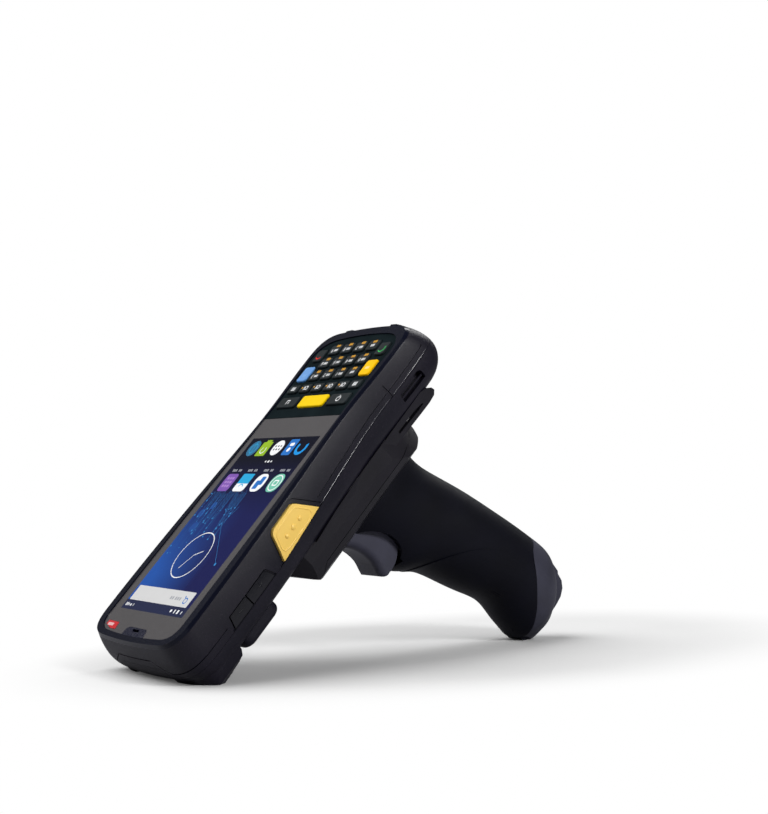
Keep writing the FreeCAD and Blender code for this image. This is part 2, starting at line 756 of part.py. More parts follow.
def below_cap_seam(gap=0.0):
    # everything on the butt side of the cap's seam, moved down the handle by gap
    seam = [(x + gap, z - gap) for x, z in CAP_SEAM]
    return polygon_y(seam + [(30.0, -320.0), (140.0, -320.0), (140.0, -116.4 - gap)], -60, 60)


def thumb_pad():
    # raised soft pad on the flank, bounded by the crease that runs from the ledge to the butt
    curve = Part.BSplineCurve()
    points = [(40.0, -77.0), (52.0, -83.0), (63.0, -91.0), (71.5, -102.5), (75.5, -114.0), (74.0, -130.0)]
    curve.interpolate(Points=[V(x, -30, z) for x, z in points])
    last = V(points[-1][0], -30, points[-1][1])
    corner = V(20.0, -30, -150.0)
    upper = V(20.0, -30, -77.0)
    foot_corner = V(64.0, -30, -150.0)
    first = V(points[0][0], -30, points[0][1])
    lines = [Part.makeLine(last, foot_corner), Part.makeLine(foot_corner, corner),
             Part.makeLine(corner, upper), Part.makeLine(upper, first)]
    region = Part.Face(Part.Wire([curve.toShape()] + lines)).extrude(V(0, 60, 0))
    return handle_form(0.4).common(region)


def grip_cavity():
    # battery bay, square to the run of the handle
    bay = box(-13.2, 13.2, -10.2, 10.2, -60.0, 0.0)
    bay.rotate(V(0, 0, 0), ALONG_Y, -BAY_LEAN)
    bay.translate(V(BAY_TOP[0], 0, BAY_TOP[1]))
    return bay


def grip_battery():
    pack = box(-12.8, 12.8, -9.8, 9.8, -43.0, -0.3)
    edges = [e for e in pack.Edges if e.BoundBox.ZLength > 40]
    pack = pack.makeChamfer(2.0, edges)
    pack.rotate(V(0, 0, 0), ALONG_Y, -BAY_LEAN)
    pack.translate(V(BAY_TOP[0], 0, BAY_TOP[1]))
    return pack


def finger_cut():
    # the space in front of the cheeks, where the finger reaches the trigger
    edge = Part.BSplineCurve()
    edge.interpolate(Points=[V(x, -40, z) for x, z in CHEEK_EDGE])
    first = V(CHEEK_EDGE[0][0], -40, CHEEK_EDGE[0][1])
    last = V(CHEEK_EDGE[-1][0], -40, CHEEK_EDGE[-1][1])
    lines = Part.makePolygon([last, V(5.0, -40, last.z), V(5.0, -40, first.z), first])
    return Part.Face(Part.Wire([edge.toShape()] + lines.Edges)).extrude(V(0, 80, 0))


def handle_whole():
    shape = handle_form().fuse(thumb_pad())
    shape = shape.cut(below_cap_seam()).cut(finger_cut())
    shape = shape.cut(saddle_whole()).cut(box(-20, 120, -60, 60, -36.6, 0))
    lugs = cylinder_y(HINGE, HINGE_ROUND, -LUG_HALF, LUG_HALF)
    web = polygon_y([(56.0, -138.6), (63.0, -133.0), (60.0, -130.0), (54.5, -134.0), (54.9, -140.0)],
                    -LUG_HALF, LUG_HALF)
    shape = shape.fuse(lugs).fuse(web)
    shape = shape.cut(cylinder_y(HINGE, HINGE_ROUND + 0.35, -KNUCKLE_HALF - 0.3, KNUCKLE_HALF + 0.3))
    shape = shape.cut(cylinder_y(HINGE, PIN_ROUND + PIN_PLAY, -9, 9))
    shape = shape.cut(grip_cavity())
    room = polygon_y([(20.0, -33.0), (47.4, -33.0), (47.4, -62.0), (44.0, -69.4), (30.0, -69.4), (20.0, -60.0)],
                     -TRIGGER_SLOT, TRIGGER_SLOT)
    shape = shape.cut(room).cut(switch_seat())
    return shape.cut(cylinder_y(TRIGGER_PIVOT, TRIGGER_PIN + PIN_PLAY, -11.2, 11.2))


# screw places in the handle as (x, z, seat of the head along y)
HANDLE_SPOTS = [(70.5, -48.0, 8.0), (84.6, -101.0, 6.2), (52.5, -70.0, 8.0)]


def handle_screw(x, z, seat):
    head = rod(2.2, 0, 0, 0, 1.4, 16)
    shank = rod(1.1, 0, 0, -7.0 - seat, 7.0 + seat, 8)
    solid = head.fuse(shank).cut(rod(1.0, 0, 0, 0.7, 2.0, 6)).removeSplitter()
    solid.rotate(V(0, 0, 0), V(1, 0, 0), -90)
    solid.translate(V(x, seat, z))
    return solid


def handle_screws():
    return Part.makeCompound([handle_screw(*spot) for spot in HANDLE_SPOTS])


def handle_half(side):
    seam = 0.06
    keep = box(-20, 120, seam, 60, -200, 0) if side > 0 else box(-20, 120, -60, -seam, -200, 0)
    shape = handle_whole().common(keep)
    holes = []
    for x, z, seat in HANDLE_SPOTS:
        if side > 0:
            holes.append(cylinder_y((x, z), 1.2, -1, seat + 1))
            holes.append(cylinder_y((x, z), 2.5, seat, 30))
        else:
            holes.append(cylinder_y((x, z), 1.1, -7.4, 1))
    return main_solid(shape.cut(Part.makeCompound(holes)))


def trigger():
    # finger lever: front hollow along its length and rounded across, back hidden between the cheeks
    front = Part.BSplineCurve()
    front.interpolate(Points=[V(x, 0, z) for x, z in TRIGGER_FRONT])
    toe = Part.Arc(V(27.9, 0, -65.8), V(28.9, 0, -67.2), V(31.2, 0, -67.6))
    sole = Part.Arc(V(31.2, 0, -67.6), V(40.6, 0, -64.6), V(44.5, 0, -56.0))
    back = Part.Arc(V(44.5, 0, -56.0), V(44.0, 0, -50.8), V(41.9, 0, -46.2))
    crown = Part.Arc(V(41.9, 0, -46.2), V(41.2, 0, -40.2), V(36.0, 0, -37.4))
    roof = Part.makePolygon([V(36.0, 0, -37.4), V(25.0, 0, -39.2), V(23.4, 0, -39.8)])
    edges = [front.toShape(), toe.toShape(), sole.toShape(), back.toShape(), crown.toShape()] + roof.Edges
    blade = Part.Face(Part.Wire(edges)).extrude(V(0, 2 * TRIGGER_HALF, 0))
    blade.translate(V(0, -TRIGGER_HALF, 0))
    rounded = [e for e in blade.Edges if e.BoundBox.YLength < 0.1 and e.BoundBox.XMax < 32.5 and e.Length > 3]
    blade = blade.makeFillet(3.4, [e for e in rounded if e.Length > 20])
    return blade.cut(cylinder_y(TRIGGER_PIVOT, TRIGGER_PIN + PIN_PLAY, -20, 20))


def trigger_pin():
    return cylinder_y(TRIGGER_PIVOT, TRIGGER_PIN, -11.0, 11.0)


def trigger_switch():
    case = box(47.4, 53.4, -4.0, 4.0, -56.5, -46.0)
    plunger = box(46.3, 47.4, -1.2, 1.2, -54.2, -51.8)
    return case.fuse(plunger).removeSplitter()


def trigger_spring():
    # bent leaf that rests behind the trigger's back
    thick = 0.35
    path = [(47.05, -61.8), (47.05, -57.6), (46.95, -55.6)]
    outer = path + [(x + thick, z - thick * 0.2) for x, z in reversed(path)]
    return polygon_y(outer, -2.5, 2.5)


def switch_seat():
    return box(47.3, 53.5, -4.1, 4.1, -56.6, -45.9)


def cap_spine():
    # keel down the rear of the cap, stepped in along its long corners
    crest = polygon_y(SPINE, -SPINE_HALF + 1.3, SPINE_HALF - 1.3)
    shoulder = polygon_y([(x - 1.0, z + 0.9) for x, z in SPINE], -SPINE_HALF, SPINE_HALF)
    return crest.fuse(shoulder).removeSplitter()


def cap_knuckle():
    x, z = HINGE
    arm = cylinder_y(HINGE, HINGE_ROUND, -KNUCKLE_HALF, KNUCKLE_HALF)
    web = polygon_y([(x - 0.5, z - 2.4), (x + 1.2, z + 2.0), (x + 6.0, z - 0.4), (x + 6.5, z - 3.4),
                     (x + 2.5, z - 3.6)], -KNUCKLE_HALF, KNUCKLE_HALF)
    knuckle = arm.fuse(web).cut(cylinder_y(HINGE, PIN_ROUND + PIN_PLAY, -9, 9))
    return knuckle.cut(floor_block())


def butt_cap():
    shape = handle_form().fuse(cap_spine())
    shape = shape.common(below_cap_seam(CAP_GAP))
    clearance = cylinder_y(HINGE, HINGE_ROUND + 0.4, -LUG_HALF - 0.4, LUG_HALF + 0.4)
    shape = shape.cut(clearance).cut(lug_room()).cut(grip_cavity())
    shape = shape.cut(floor_block()).cut(latch_room())
    return main_solid(shape.fuse(cap_knuckle()))


def lug_room():
    # keeps the cap clear of the handle's two hinge lugs
    return box(50.0, HINGE[0] + 2.0, -LUG_HALF - 0.4, LUG_HALF + 0.4, HINGE[1], -130.0)


def cap_pin():
    return cylinder_y(HINGE, PIN_ROUND, -LUG_HALF + 0.3, LUG_HALF - 0.3)


# Sliding latch let into the spine
LATCH_BOX = (84.6, 90.2, 4.2, -139.6, -131.6)
LATCH_TRAVEL = 1.8


def latch_room():
    x0, x1, half, z0, z1 = LATCH_BOX
    return box(x0 - 0.3, x1 + 5, -half - 0.3, half + 0.3, z0 - 0.3 - LATCH_TRAVEL, z1 + 0.3)


def cap_latch():
    x0, x1, half, z0, z1 = LATCH_BOX
    block = polygon_y([(x0, z0), (88.0, z0), (89.6, z0 + 1.6), (x1, z1 - 2.2), (89.4, z1), (x0, z1)], -half, half)
    grooves = [box(88.6, 92.0, -half + 0.8, half - 0.8, z, z + 0.6) for z in (-137.6, -136.2, -134.8)]
    return block.cut(Part.makeCompound(grooves))


def all_parts():
    parts = {}
    parts["front_housing"] = front_housing()
    parts["back_housing"] = back_housing()
    parts["touch_window"] = touch_window()
    parts["display_panel"] = display_panel()
    parts["earpiece"] = earpiece().cut(Part.makeCompound(speaker_grille()))
    parts["indicator_lens"] = lens()
    parts["keypad_plate"] = keypad_plate()
    parts["keypad_mat"] = keypad_mat()
    parts["main_board"] = main_board()
    parts["battery_pack"] = battery_pack()
    parts["scan_engine"] = scan_engine()
    parts["scan_window"] = scan_window()
    parts["camera_lens"] = camera_lens()
    parts["port_cover"] = port_cover()
    parts["housing_screws"] = housing_screws()
    for name, place_and_size in key_layout().items():
        parts[name] = key_cap(*place_and_size)
    near_key = side_key(SCAN_KEY, 0.8, 3.0, 3.4)
    parts["scan_key_near"] = near_key
    parts["scan_key_far"] = near_key.mirror(V(0, 0, 0), ALONG_Y)
    for name, points in VOLUME_KEYS.items():
        parts[name] = side_key(points, 0.1, 0.5, 2.6)
    parts["saddle_upper"] = saddle_upper()
    parts["saddle_lower"] = saddle_lower()
    parts["saddle_screws"] = saddle_screws()
    parts["handle_near"] = handle_half(-1)
    parts["handle_far"] = handle_half(1)
    parts["handle_screws"] = handle_screws()
    parts["grip_battery"] = grip_battery()
    parts["trigger"] = trigger()
    parts["trigger_pin"] = trigger_pin()
    parts["trigger_switch"] = trigger_switch()
    parts["trigger_spring"] = trigger_spring()
    parts["butt_cap"] = butt_cap()
    parts["cap_pin"] = cap_pin()
    parts["cap_latch"] = cap_latch()
    return parts


def main():
    os.makedirs("parts", exist_ok=True)
    parts = all_parts()
    for shape in parts.values():
        shape.rotate(V(0, 0, 0), ALONG_Y, -REST_TILT)
    boxes = [parts[name].optimalBoundingBox() for name in ("back_housing", "front_housing", "butt_cap")]
    middle = (min(b.XMin for b in boxes) + max(b.XMax for b in boxes)) / 2
    for name, shape in parts.items():
        shape.translate(V(-middle, 0, -REST_LEVEL))
        shape.exportStep("parts/%s.step" % name)
        print(name, len(shape.Solids), shape.isValid(), round(shape.Volume, 1))
    print("shift along x", round(-middle, 3))


main()
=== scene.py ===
import json
import math
import random

import bmesh
import bpy
from mathutils import Matrix, Vector
from mathutils.bvhtree import BVHTree

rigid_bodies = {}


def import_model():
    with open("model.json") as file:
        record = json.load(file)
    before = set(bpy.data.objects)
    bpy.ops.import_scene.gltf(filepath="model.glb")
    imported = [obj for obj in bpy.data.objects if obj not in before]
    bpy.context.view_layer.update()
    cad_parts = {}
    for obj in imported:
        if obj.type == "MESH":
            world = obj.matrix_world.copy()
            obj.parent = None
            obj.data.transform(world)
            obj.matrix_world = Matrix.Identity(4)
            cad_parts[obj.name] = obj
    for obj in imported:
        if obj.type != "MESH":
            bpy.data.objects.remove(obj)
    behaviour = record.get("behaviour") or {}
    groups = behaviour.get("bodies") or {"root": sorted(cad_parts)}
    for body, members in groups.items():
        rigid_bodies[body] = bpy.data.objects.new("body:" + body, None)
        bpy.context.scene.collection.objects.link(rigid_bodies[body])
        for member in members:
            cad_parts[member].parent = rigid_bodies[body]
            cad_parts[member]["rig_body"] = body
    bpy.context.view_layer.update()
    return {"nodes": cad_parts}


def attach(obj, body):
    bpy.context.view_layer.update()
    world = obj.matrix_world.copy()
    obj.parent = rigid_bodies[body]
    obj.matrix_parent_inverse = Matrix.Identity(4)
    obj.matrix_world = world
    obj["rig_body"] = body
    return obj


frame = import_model()
nodes = frame["nodes"]
device_nodes = set(nodes)

# The terminal's own axes: x along the screen, y across it, z out of the glass, in millimetres
MM = 0.001
LEAN = math.radians(47.4)
GLASS_CENTRE = Vector((-0.06258, 0.0, 0.056))
DEVICE_TO_WORLD = (Matrix.Translation(GLASS_CENTRE) @ Matrix.Rotation(-LEAN, 4, "Y")
                   @ Matrix.Scale(MM, 4))

# Camera fitted to the photograph
CAMERA_AT = DEVICE_TO_WORLD @ Vector((-166.403, -525.353, 217.443))
CAMERA_FORWARD = Vector((0.55252, 0.83293, 0.03060))
CAMERA_UP = Vector((-0.0013, -0.0359, 0.9994))
LENS_MM = 68.32

# Screen picture and its layout
SCREEN_X = 87.1
SCREEN_Y = 52.3
PICTURE_HEIGHT = 0.012
ICON_HEIGHT = 0.024
GLYPH_HEIGHT = 0.036
KEY_TOP = 0.75
LEGEND_HEIGHT = KEY_TOP + 0.02

CYAN = (0.02, 0.36, 0.66)
WHITE = (0.86, 0.87, 0.88)
AMBER = (0.85, 0.42, 0.04)

# The glossy rim begins and is complete at these heights under the glass, in millimetres
RIM_BAND = (-1.3, -0.8)

# Relief of the yellow side keys: x and z of the border, x and radius of the bumps
SIDE_KEY_BORDER = [(0.2, -12.6), (-2.2, -11.9), (-2.6, -10.4), (-0.6, -6.0), (0.6, -4.9),
                   (3.0, -4.6), (10.0, -4.6), (12.4, -4.9), (13.6, -6.2), (16.2, -10.4),
                   (15.8, -11.9), (13.6, -12.6)]
SIDE_KEY_BUMPS = ((2.4, 0.95), (6.6, 1.2), (10.8, 0.95))
BUMP_Z = -9.0
BUMP_HEIGHT = 0.55
BEAD_RADIUS = 0.38
BEAD_SUNK = 0.18

# Parting line of the shells: x and z of its corners, and the stretches that carry a bead of painted
# highlight
SPLIT_LINE = [(-50.0, -14.8), (-6.0, -14.8), (20.0, -13.6), (45.0, -12.5), (66.0, -11.3),
              (115.0, -9.8)]
HIGHLIGHT_STRETCHES = ((21.0, 72.0), (74.8, 98.0))
HIGHLIGHT_RADIUS = 0.2

# Volume keys: x of each mark and its strokes as x and z offsets
VOLUME_MARKS = (("volume_up_key", -18.0, ((-1.1, 0, 1.1, 0), (0, -1.1, 0, 1.1))),
                ("volume_down_key", -30.2, ((-1.1, 0, 1.1, 0),)))
VOLUME_Z = -12.0
MARK_RADIUS = 0.16

# Butt cap: front, rear and half width of its section at four stations down the grip
CAP_STATIONS = (-106.0, -119.0, -126.0, -131.0)
CAP_FRONT = (51.8, 55.6, 55.0, 54.4)
CAP_REAR = (89.4, 91.7, 92.3, 91.0)
CAP_HALF = (16.4, 16.2, 16.0, 15.6)
CAP_INSET = 0.12
SKIN_ROWS = 14
SKIN_COLUMNS = 12

# Studio: lamps as name, place, aim, watts, width and height, then the floor in metres
LAMPS = (("key_light", (-0.55, 0.45, 1.25), (0, 0, 0.0), 25.5, 1.5, 1.5),
         ("side_light", (0.10, -0.75, 0.50), (0.0, 0, 0.10), 5.0, 0.24, 0.24),
         ("rim_light", (0.9, 0.5, 0.9), (0, 0, 0.05), 2.5, 0.5, 0.4))
WORLD_STRENGTH = 0.12
FLOOR_SIZE = 8.0
FLOOR_BOUNCE = (0.30, 0.30, 0.32)
# Centre and fade of the grey zone of floor around the object, a painted shadow pool
SHADOW_POOL_CENTRE_X = 0.04
SHADOW_POOL_FADE_START = 0.12
SHADOW_POOL_FADE_END = 0.20


def device_point(x, y, z):
    return DEVICE_TO_WORLD @ Vector((x, y, z))


# Materials

def new_material(name):
    material = bpy.data.materials.new(name)
    material.use_nodes = True
    tree = material.node_tree
    return material, tree, tree.nodes["Principled BSDF"]


def add_node(tree, kind, **inputs):
    node = tree.nodes.new(kind)
    for key, value in inputs.items():
        node.inputs[key.replace("_", " ")].default_value = value
    return node


def device_coordinates(tree):
    """Texture coordinates in the terminal's own axes, in millimetres."""
    coordinates = tree.nodes.new("ShaderNodeTexCoord")
    mapping = tree.nodes.new("ShaderNodeMapping")
    mapping.vector_type = "TEXTURE"
    mapping.inputs["Location"].default_value = GLASS_CENTRE
    mapping.inputs["Rotation"].default_value = (0.0, -LEAN, 0.0)
    mapping.inputs["Scale"].default_value = (MM, MM, MM)
    tree.links.new(coordinates.outputs["Object"], mapping.inputs["Vector"])
    return mapping.outputs["Vector"]


def noise(tree, vector, scale, detail=3.0):
    node = add_node(tree, "ShaderNodeTexNoise", Scale=scale, Detail=detail)
    tree.links.new(vector, node.inputs["Vector"])
    return node.outputs["Fac"]


def spread(tree, factor, low, high, start=0.3, end=0.7):
    """Maps a factor between start and end onto low to high."""
    node = tree.nodes.new("ShaderNodeMapRange")
    for key, value in (("From Min", start), ("From Max", end), ("To Min", low), ("To Max", high)):
        node.inputs[key].default_value = value
    tree.links.new(factor, node.inputs["Value"])
    return node.outputs["Result"]


def mix_colors(tree, factor, first, second):
    node = tree.nodes.new("ShaderNodeMix")
    node.data_type = "RGBA"
    for key, value in (("A", first), ("B", second)):
        socket = next(s for s in node.inputs if s.name == key and s.type == "RGBA")
        if isinstance(value, tuple):
            socket.default_value = (*value, 1.0)
        else:
            tree.links.new(value, socket)
    tree.links.new(factor, node.inputs["Factor"])
    return next(s for s in node.outputs if s.type == "RGBA")


def bump(tree, height, distance, strength=1.0):
    node = tree.nodes.new("ShaderNodeBump")
    node.inputs["Strength"].default_value = strength
    node.inputs["Distance"].default_value = distance
    tree.links.new(height, node.inputs["Height"])
    return node.outputs["Normal"]


def moulded(name, color, roughness, grain=2.2, depth=0.00004, variation=0.25, coat=0.0,
            specular=0.5):
    """Moulded plastic or rubber: slow colour drift, fine grain and uneven gloss."""
    material, tree, shader = new_material(name)
    vector = device_coordinates(tree)
    darker = tuple(c * (1 - variation) for c in color)
    lighter = tuple(min(1.0, c * (1 + variation)) for c in color)
    drift = spread(tree, noise(tree, vector, 0.06), 0.0, 1.0)
    tree.links.new(mix_colors(tree, drift, darker, lighter), shader.inputs["Base Color"])
    fine = noise(tree, vector, grain, 4.0)
    tree.links.new(spread(tree, fine, roughness - 0.05, roughness + 0.06),
                   shader.inputs["Roughness"])
    tree.links.new(bump(tree, fine, depth), shader.inputs["Normal"])
    shader.inputs["Coat Weight"].default_value = coat
    shader.inputs["Coat Roughness"].default_value = 0.08
    shader.inputs["Specular IOR Level"].default_value = specular
    return material


def metal(name, color, roughness):
    material = moulded(name, color, roughness, grain=1.2, depth=0.00001, variation=0.1)
    material.node_tree.nodes["Principled BSDF"].inputs["Metallic"].default_value = 1.0
    return material


def picture(name, color, variation=0.06):
    """Printed or lit area of the screen under gloss."""
    material, tree, shader = new_material(name)
    vector = device_coordinates(tree)
    drift = spread(tree, noise(tree, vector, 0.3), 0.0, 1.0)
    tone = mix_colors(tree, drift, tuple(c * (1 - variation) for c in color), color)
    tree.links.new(tone, shader.inputs["Base Color"])
    tree.links.new(tone, shader.inputs["Emission Color"])
    shader.inputs["Emission Strength"].default_value = 0.12
    shader.inputs["Roughness"].default_value = 0.12
    shader.inputs["Specular IOR Level"].default_value = 0.25
    return material


def housing_material():
    """Satin black body whose upper rim is a thin bead of navy gloss."""
    material, tree, shader = new_material("housing")
    vector = device_coordinates(tree)
    axes = tree.nodes.new("ShaderNodeSeparateXYZ")
    tree.links.new(vector, axes.inputs["Vector"])
    height = axes.outputs["Z"]
    rim = spread(tree, height, 0.0, 1.0, *RIM_BAND)
    drift = spread(tree, noise(tree, vector, 0.05), 0.0, 1.0)
    body = mix_colors(tree, drift, (0.0030, 0.0028, 0.0085), (0.0075, 0.0060, 0.0135))
    speck = spread(tree, noise(tree, vector, 3.2, 2.0), 0.0, 1.0, 0.62, 0.72)
    flecked = mix_colors(tree, speck, body, (0.030, 0.025, 0.038))
    tree.links.new(mix_colors(tree, rim, flecked, (0.003, 0.004, 0.012)),
                   shader.inputs["Base Color"])
    fine = noise(tree, vector, 2.6, 4.0)
    satin = spread(tree, fine, 0.36, 0.48)
    gloss = spread(tree, fine, 0.12, 0.18)
    blend = tree.nodes.new("ShaderNodeMix")
    tree.links.new(rim, blend.inputs["Factor"])
    tree.links.new(satin, blend.inputs["A"])
    tree.links.new(gloss, blend.inputs["B"])
    tree.links.new(blend.outputs["Result"], shader.inputs["Roughness"])
    tree.links.new(spread(tree, height, 0.34, 0.22, *RIM_BAND),
                   shader.inputs["Specular IOR Level"])
    fade = tree.nodes.new("ShaderNodeMath")
    fade.operation = "MULTIPLY"
    tree.links.new(fine, fade.inputs[0])
    tree.links.new(spread(tree, height, 1.0, 0.1, *RIM_BAND), fade.inputs[1])
    tree.links.new(bump(tree, fade.outputs["Value"], 0.00005), shader.inputs["Normal"])
    return material


def wallpaper_material():
    """Night-blue gradient: blue along the far edge, fading to navy and to black by the dock."""
    material, tree, shader = new_material("wallpaper")
    vector = device_coordinates(tree)
    axes = tree.nodes.new("ShaderNodeSeparateXYZ")
    tree.links.new(vector, axes.inputs["Vector"])
    across = spread(tree, axes.outputs["Y"], 0.0, 1.0, -14.0, 26.0)
    along = spread(tree, axes.outputs["X"], 1.0, 0.0, -26.0, 12.0)
    both = tree.nodes.new("ShaderNodeMath")
    both.operation = "MULTIPLY"
    tree.links.new(across, both.inputs[0])
    tree.links.new(along, both.inputs[1])
    glow = spread(tree, both.outputs["Value"], 0.0, 1.0, 0.0, 0.85)
    base = mix_colors(tree, glow, (0.006, 0.008, 0.062), (0.012, 0.066, 0.29))
    night = spread(tree, axes.outputs["X"], 0.0, 1.0, 4.0, 32.0)
    tone = mix_colors(tree, night, base, (0.0012, 0.0018, 0.009))
    tree.links.new(tone, shader.inputs["Base Color"])
    tree.links.new(tone, shader.inputs["Emission Color"])
    shader.inputs["Emission Strength"].default_value = 0.3
    shader.inputs["Roughness"].default_value = 0.14
    shader.inputs["Specular IOR Level"].default_value = 0.15
    return material


MATERIALS = {
    "housing": housing_material(),
    "saddle": moulded("saddle", (0.007, 0.006, 0.010), 0.40, 2.6, specular=0.4),
    "handle": moulded("handle", (0.0018, 0.0020, 0.0058), 0.48, 3.5, 0.00003, specular=0.18),
    "grip_gray": moulded("grip_gray", (0.034, 0.034, 0.054), 0.48, 3.0),
    "glass": moulded("glass", (0.086, 0.081, 0.084), 0.14, 0.8, 0.000002, 0.04, coat=0.6),
    "navy": moulded("navy", (0.004, 0.005, 0.022), 0.25, 3.0, specular=0.25),
    "plate": moulded("plate", (0.0085, 0.0135, 0.0155), 0.50, 2.0, 0.00002, specular=0.0),
    "key": moulded("key", (0.0085, 0.0130, 0.0150), 0.42, 2.0, 0.00002, specular=0.08),
    "key_orange": moulded("key_orange", (0.95, 0.52, 0.0), 0.5, 2.0, 0.00002, 0.05, specular=0.05),
    "key_yellow": moulded("key_yellow", (0.86, 0.58, 0.0), 0.5, 2.0, 0.00002, 0.05, specular=0.05),
    "key_blue": moulded("key_blue", (0.10, 0.30, 0.68), 0.42, 2.0, 0.00002, 0.1),
    "side_yellow": moulded("side_yellow", (1.0, 0.66, 0.14), 0.42, 2.4, 0.00003, 0.02),
    "key_gloss": moulded("key_gloss", (0.003, 0.003, 0.006), 0.22, 2.0, 0.00001),
    # Lighter gloss for the beads along the parting line: a painted highlight
    "parting_highlight_gloss": moulded("parting_highlight_gloss", (0.030, 0.028, 0.040), 0.18, 2.0, 0.00001, specular=0.9),
    "lens_pale": picture("lens_pale", (0.75, 0.45, 0.45)),
    "lens_red": moulded("lens_red", (0.60, 0.012, 0.02), 0.2, 1.0, 0.00001, 0.15, coat=0.5),
    "window": moulded("window", (0.05, 0.004, 0.012), 0.08, 1.0, 0.000002, 0.1, coat=0.5),
    "steel": metal("steel", (0.55, 0.55, 0.57), 0.32),
    "fastener": metal("fastener", (0.05, 0.05, 0.055), 0.40),
    "board": moulded("board", (0.01, 0.12, 0.045), 0.4),
    "battery": moulded("battery", (0.07, 0.07, 0.08), 0.5),
    "panel": moulded("panel", (0.006, 0.006, 0.010), 0.15, 1.0, 0.000002),
    "white": picture("white", WHITE),
    "amber": picture("amber", AMBER),
    "red_mark": picture("red_mark", (0.80, 0.03, 0.02)),
    "green_mark": picture("green_mark", (0.05, 0.50, 0.12)),
    "black_mark": picture("black_mark", (0.004, 0.004, 0.006)),
    "key_blue_mark": picture("key_blue_mark", (0.24, 0.46, 0.80)),
    "key_yellow_mark": picture("key_yellow_mark", (0.95, 0.82, 0.45)),
    "status": picture("status", (0.015, 0.020, 0.060)),
    "cyan": picture("cyan", CYAN),
    "thread": picture("thread", (0.03, 0.21, 0.50)),
    "deep_cyan": picture("deep_cyan", (0.014, 0.085, 0.27)),
    "haze": picture("haze", (0.012, 0.060, 0.26)),
    "purple": picture("purple", (0.20, 0.09, 0.40)),
    "lilac": picture("lilac", (0.42, 0.24, 0.60)),
    "teal": picture("teal", (0.16, 0.52, 0.38)),
    "lime": picture("lime", (0.28, 0.46, 0.02)),
    "sky": picture("sky", (0.02, 0.16, 0.52)),
    "globe": picture("globe", (0.03, 0.15, 0.28)),
    "bright_blue": picture("bright_blue", (0.01, 0.28, 0.72)),
    "paper": picture("paper", (0.62, 0.62, 0.62), 0.02),
    "pale_mark": picture("pale_mark", (0.36, 0.37, 0.40)),
    "wallpaper": wallpaper_material(),
}


def paint(node, material):
    slots = nodes[node].data.materials
    slots.clear()
    slots.append(MATERIALS[material])


FINISHES = {
    "housing": ["front_housing", "back_housing", "port_cover"],
    "key_gloss": ["volume_down_key", "volume_up_key"],
    "saddle": ["saddle_upper", "saddle_lower"],
    "handle": ["handle_near", "handle_far"],
    "grip_gray": ["trigger", "butt_cap", "cap_latch"],
    "glass": ["touch_window"],
    "navy": ["earpiece"],
    "plate": ["keypad_plate", "keypad_mat"],
    "key_yellow": ["key_scan_front"],
    "key_orange": ["key_yellow"],
    "key_blue": ["key_blue"],
    "side_yellow": ["scan_key_near", "scan_key_far"],
    "lens_red": ["indicator_lens"],
    "window": ["scan_window", "camera_lens"],
    "steel": ["trigger_pin", "cap_pin", "trigger_spring"],
    "fastener": ["housing_screws", "saddle_screws", "handle_screws"],
    "board": ["main_board"],
    "battery": ["battery_pack", "grip_battery"],
    "panel": ["display_panel", "scan_engine", "trigger_switch"],
}


def paint_all():
    painted = set()
    for material, names in FINISHES.items():
        for name in names:
            paint(name, material)
            painted.add(name)
    for name in device_nodes - painted:
        paint(name, "key")


# Flat pieces laid on the screen and the keys

def link_piece(mesh, name, material, body):
    piece = bpy.data.objects.new(name, mesh)
    bpy.context.scene.collection.objects.link(piece)
    mesh.materials.append(MATERIALS[material])
    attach(piece, body)
    return piece


def lay(name, shapes, height, material, body="body"):
    """Flat outlines, each a list of device x and y, as one piece at a height over the glass."""
    mesh = bpy.data.meshes.new(name)
    form = bmesh.new()
    for outline in shapes:
        corners = [form.verts.new(device_point(x, y, height)) for x, y in outline]
        form.faces.new(corners)
    for face in form.faces:
        face.normal_update()
        if face.normal.dot(DEVICE_TO_WORLD.to_3x3() @ Vector((0, 0, 1))) < 0:
            face.normal_flip()
    bmesh.ops.triangulate(form, faces=form.faces[:])
    form.to_mesh(mesh)
    form.free()
    return link_piece(mesh, name, material, body)


def rect(x0, x1, y0, y1):
    return [(x0, y0), (x1, y0), (x1, y1), (x0, y1)]


def soft_rect(x, y, long_x, long_y, corner, steps=5):
    points = []
    hx = long_x / 2 - corner
    hy = long_y / 2 - corner
    for cx, cy, start in ((hx, hy, 0), (-hx, hy, 90), (-hx, -hy, 180), (hx, -hy, 270)):
        for step in range(steps + 1):
            angle = math.radians(start + 90 * step / steps)
            points.append((x + cx + corner * math.cos(angle), y + cy + corner * math.sin(angle)))
    return points


def disc(x, y, radius, steps=24):
    turns = [2 * math.pi * i / steps for i in range(steps)]
    return [(x + radius * math.cos(a), y + radius * math.sin(a)) for a in turns]


def arc_band(x, y, radius, width, first, last, steps=32):
    """Slices of a ring from one angle to another, in degrees."""
    out = []
    for step in range(steps):
        a = math.radians(first + (last - first) * step / steps)
        b = math.radians(first + (last - first) * (step + 1) / steps)
        inner = radius - width / 2
        outer = radius + width / 2
        out.append([(x + inner * math.cos(a), y + inner * math.sin(a)),
                    (x + outer * math.cos(a), y + outer * math.sin(a)),
                    (x + outer * math.cos(b), y + outer * math.sin(b)),
                    (x + inner * math.cos(b), y + inner * math.sin(b))])
    return out


def stroke(x0, y0, x1, y1, width):
    """Straight line of even width."""
    along = Vector((x1 - x0, y1 - y0)).normalized() * (width / 2)
    side = Vector((-along.y, along.x))
    return [(x0 + side.x, y0 + side.y), (x0 - side.x, y0 - side.y),
            (x1 - side.x, y1 - side.y), (x1 + side.x, y1 + side.y)]


